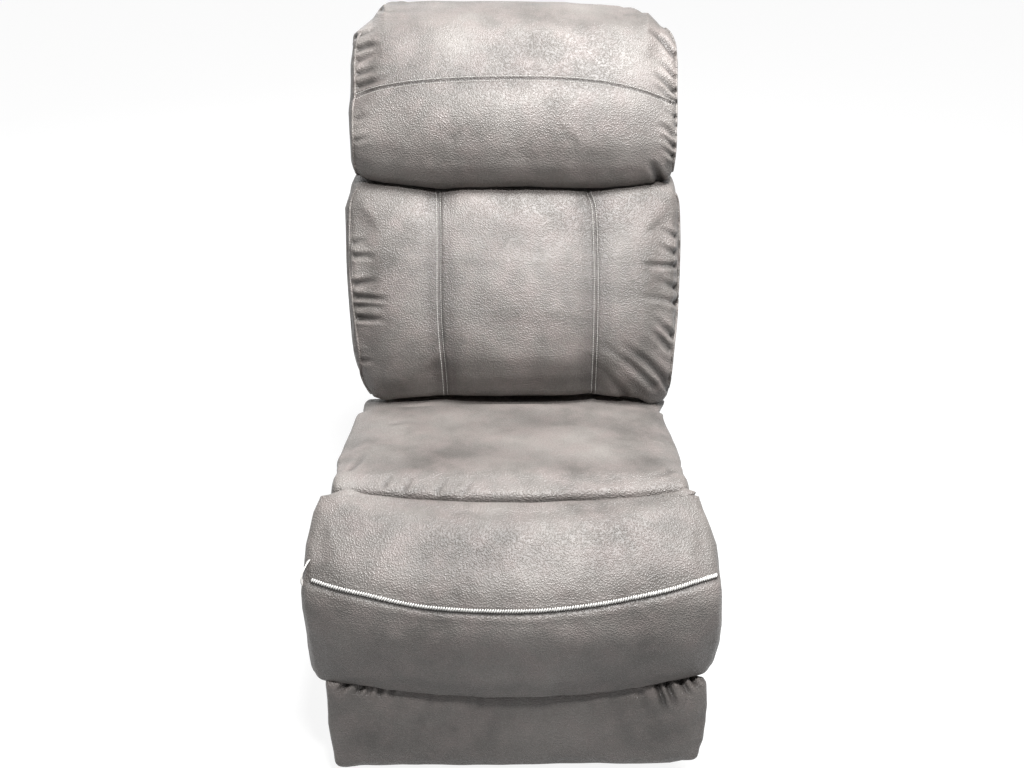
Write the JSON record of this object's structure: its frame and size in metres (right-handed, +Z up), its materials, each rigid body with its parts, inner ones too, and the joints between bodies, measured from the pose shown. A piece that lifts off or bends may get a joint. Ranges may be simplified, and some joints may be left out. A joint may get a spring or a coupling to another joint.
{
  "type": "armless recliner",
  "caption": "Armless reclining seat with a channelled back, rolled seat front, pull-out footrest, pull strap and wall-saving recline frame.",
  "frame": {"origin": "middle of the whole seat's footprint, on the floor, at rest with the footrest closed and the back upright", "axes": "+Z up, the sitter faces -Y, +X to the right as seen from the front"},
  "size_m": [0.627, 0.941, 1.074],
  "materials": {
    "upholstery": "soft suede-like woven fabric",
    "wood": "planed",
    "board": "plywood",
    "black_steel": "semi-gloss black paint",
    "zinc_steel": "zinc plated",
    "spring_steel": "oiled wire",
    "clip_steel": "zinc plated",
    "glide": "moulded",
    "webbing": "woven webbing"
  },
  "bodies": {
    "base": {"end_panel_left": "upholstery", "end_panel_right": "upholstery", "mounting_plates": "black_steel", "mounting_screws": "zinc_steel", "front_tie_bar": "black_steel", "rear_rail": "wood", "rear_apron": "upholstery", "floor_glides": "glide", "base_pivot_rivets": "zinc_steel"},
    "front_swing_links": {"front_swing_links": "black_steel"},
    "rear_swing_links": {"rear_swing_links": "black_steel", "swing_torque_tube": "black_steel", "recline_pins": "zinc_steel"},
    "seat_carriage": {"seat_plate_left": "black_steel", "seat_plate_right": "black_steel", "seat_side_rail_left": "wood", "seat_side_rail_right": "wood", "seat_front_rail": "wood", "seat_rear_rail": "wood", "front_board": "board", "corner_blocks": "wood", "frame_screws": "zinc_steel", "seat_springs": "spring_steel", "seat_spring_clips": "clip_steel", "seat_pivot_rivets": "zinc_steel", "back_hinge_bolts": "zinc_steel", "seat_cushion": "upholstery", "front_bolster": "upholstery"},
    "back": {"back_post_left": "wood", "back_post_right": "wood", "back_bottom_rail": "wood", "back_middle_rail": "wood", "back_top_rail": "wood", "back_springs": "spring_steel", "back_spring_clips": "clip_steel", "back_brackets": "black_steel", "back_side_pads": "upholstery", "bracket_screws": "zinc_steel", "outside_back": "upholstery", "back_cushion": "upholstery", "headrest_cushion": "upholstery"},
    "footrest_front_arms": {"footrest_front_arms": "black_steel", "footrest_cross_tube": "black_steel", "front_arm_rivets": "zinc_steel"},
    "footrest_rear_arms": {"footrest_rear_arms": "black_steel", "rear_arm_rivets": "zinc_steel"},
    "footrest_carrier": {"footrest_carrier_links": "black_steel", "carrier_rivets": "zinc_steel"},
    "footrest_steering": {"footrest_steering_links": "black_steel"},
    "footrest": {"footrest_brackets": "black_steel", "bracket_rivets": "zinc_steel", "footrest_screws": "zinc_steel", "footrest_board": "board", "footrest_pad": "upholstery"},
    "trip_lever": {"trip_lever": "black_steel"},
    "pull_strap": {"pull_strap": "webbing"}
  },
  "joints": [
    {"name": "front_swing", "type": "hinge", "parent": "base", "child": "front_swing_links", "pos_m": [0.00715, -0.18646, 0.11], "axis": [1, 0, 0], "range_deg": [0, 42]},
    {"name": "seat_level", "type": "hinge", "parent": "front_swing_links", "child": "seat_carriage", "pos_m": [0.00715, -0.13653, 0.24005], "axis": [-1, 0, 0], "range_deg": [0, 42]},
    {"name": "rear_swing", "type": "hinge", "parent": "base", "child": "rear_swing_links", "pos_m": [0.00715, 0.13354, 0.11], "axis": [1, 0, 0], "range_deg": [0, 42]},
    {"name": "back_recline", "type": "hinge", "parent": "seat_carriage", "child": "back", "pos_m": [0.00715, 0.18355, 0.34], "axis": [-1, 0, 0], "range_deg": [0, 37.21]},
    {"name": "footrest_open", "type": "hinge", "parent": "seat_carriage", "child": "footrest_front_arms", "pos_m": [0.00715, -0.20145, 0.207], "axis": [-1, 0, 0], "range_deg": [0, 112]},
    {"name": "rear_arm_turn", "type": "hinge", "parent": "seat_carriage", "child": "footrest_rear_arms", "pos_m": [0.00715, -0.12646, 0.207], "axis": [-1, 0, 0], "range_deg": [0, 112]},
    {"name": "carrier_turn", "type": "hinge", "parent": "footrest_front_arms", "child": "footrest_carrier", "pos_m": [0.00715, -0.09105, 0.08438], "axis": [1, 0, 0], "range_deg": [0, 112]},
    {"name": "steering_turn", "type": "hinge", "parent": "footrest_front_arms", "child": "footrest_steering", "pos_m": [0.00715, -0.0662, 0.09728], "axis": [1, 0, 0], "range_deg": [0, 115.36]},
    {"name": "footrest_tilt", "type": "hinge", "parent": "footrest_carrier", "child": "footrest", "pos_m": [0.00715, -0.32395, 0.18808], "axis": [-1, 0, 0], "range_deg": [0, 88.01]},
    {"name": "strap_pull", "type": "slide", "parent": "seat_carriage", "child": "pull_strap", "axis": [-1, 0, 0], "range_m": [0, 0.015], "stiffness_N_per_m": 400},
    {"name": "lever_turn", "type": "hinge", "parent": "seat_carriage", "child": "trip_lever", "pos_m": [0.00715, -0.24846, 0.262], "axis": [1, 0, 0], "range_deg": [0, 18.01]}
  ],
  "couplings": [
    {"joint": "seat_level", "follows": "front_swing", "ratio": 1},
    {"joint": "rear_swing", "follows": "front_swing", "ratio": 1},
    {"joint": "back_recline", "follows": "front_swing", "ratio": 0.88571},
    {"joint": "rear_arm_turn", "follows": "footrest_open", "ratio": 1},
    {"joint": "carrier_turn", "follows": "footrest_open", "ratio": 1},
    {"joint": "steering_turn", "follows": "footrest_open", "ratio": 1.0299},
    {"joint": "footrest_tilt", "follows": "footrest_open", "ratio": 0.78571},
    {"joint": "lever_turn", "follows": "strap_pull", "rad_per_m": 20.944}
  ]
}
